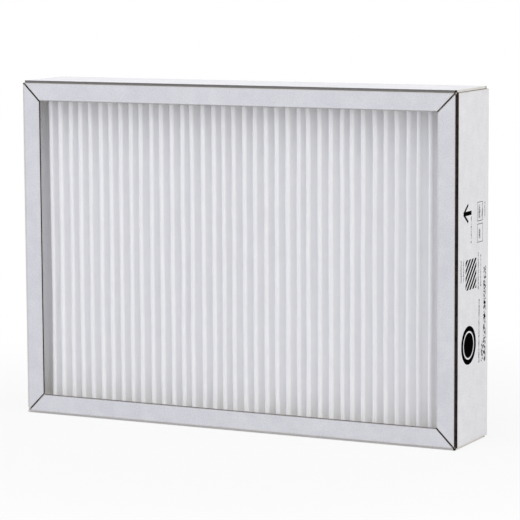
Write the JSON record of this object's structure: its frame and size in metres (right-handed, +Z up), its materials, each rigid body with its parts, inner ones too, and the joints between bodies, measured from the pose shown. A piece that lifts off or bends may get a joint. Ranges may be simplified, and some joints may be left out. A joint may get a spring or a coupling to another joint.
{
  "type": "pleated panel air filter",
  "caption": "Upright panel air filter: a zigzag pack of white nonwoven sheet, glued into a frame folded from white-lined board with mitred flanges front and back.",
  "frame": {"origin": "bottom centre of the filter: middle of the width and depth, on the face it stands on", "axes": "+X along the width, the front face with the sealing flanges looks along -Y, +Z up along the height and the pleats"},
  "size_m": [0.272, 0.046, 0.195],
  "materials": {
    "white_lined_board": "matte",
    "nonwoven_sheet": "matte",
    "hot_melt_glue": "satin"
  },
  "bodies": {
    "root": {"folded_board_frame": "white_lined_board", "pleated_media": "nonwoven_sheet", "top_seal_bead": "hot_melt_glue", "bottom_seal_bead": "hot_melt_glue", "left_leaf_glue": "hot_melt_glue", "right_leaf_glue": "hot_melt_glue", "seam_glue": "hot_melt_glue"}
  },
  "joints": []
}
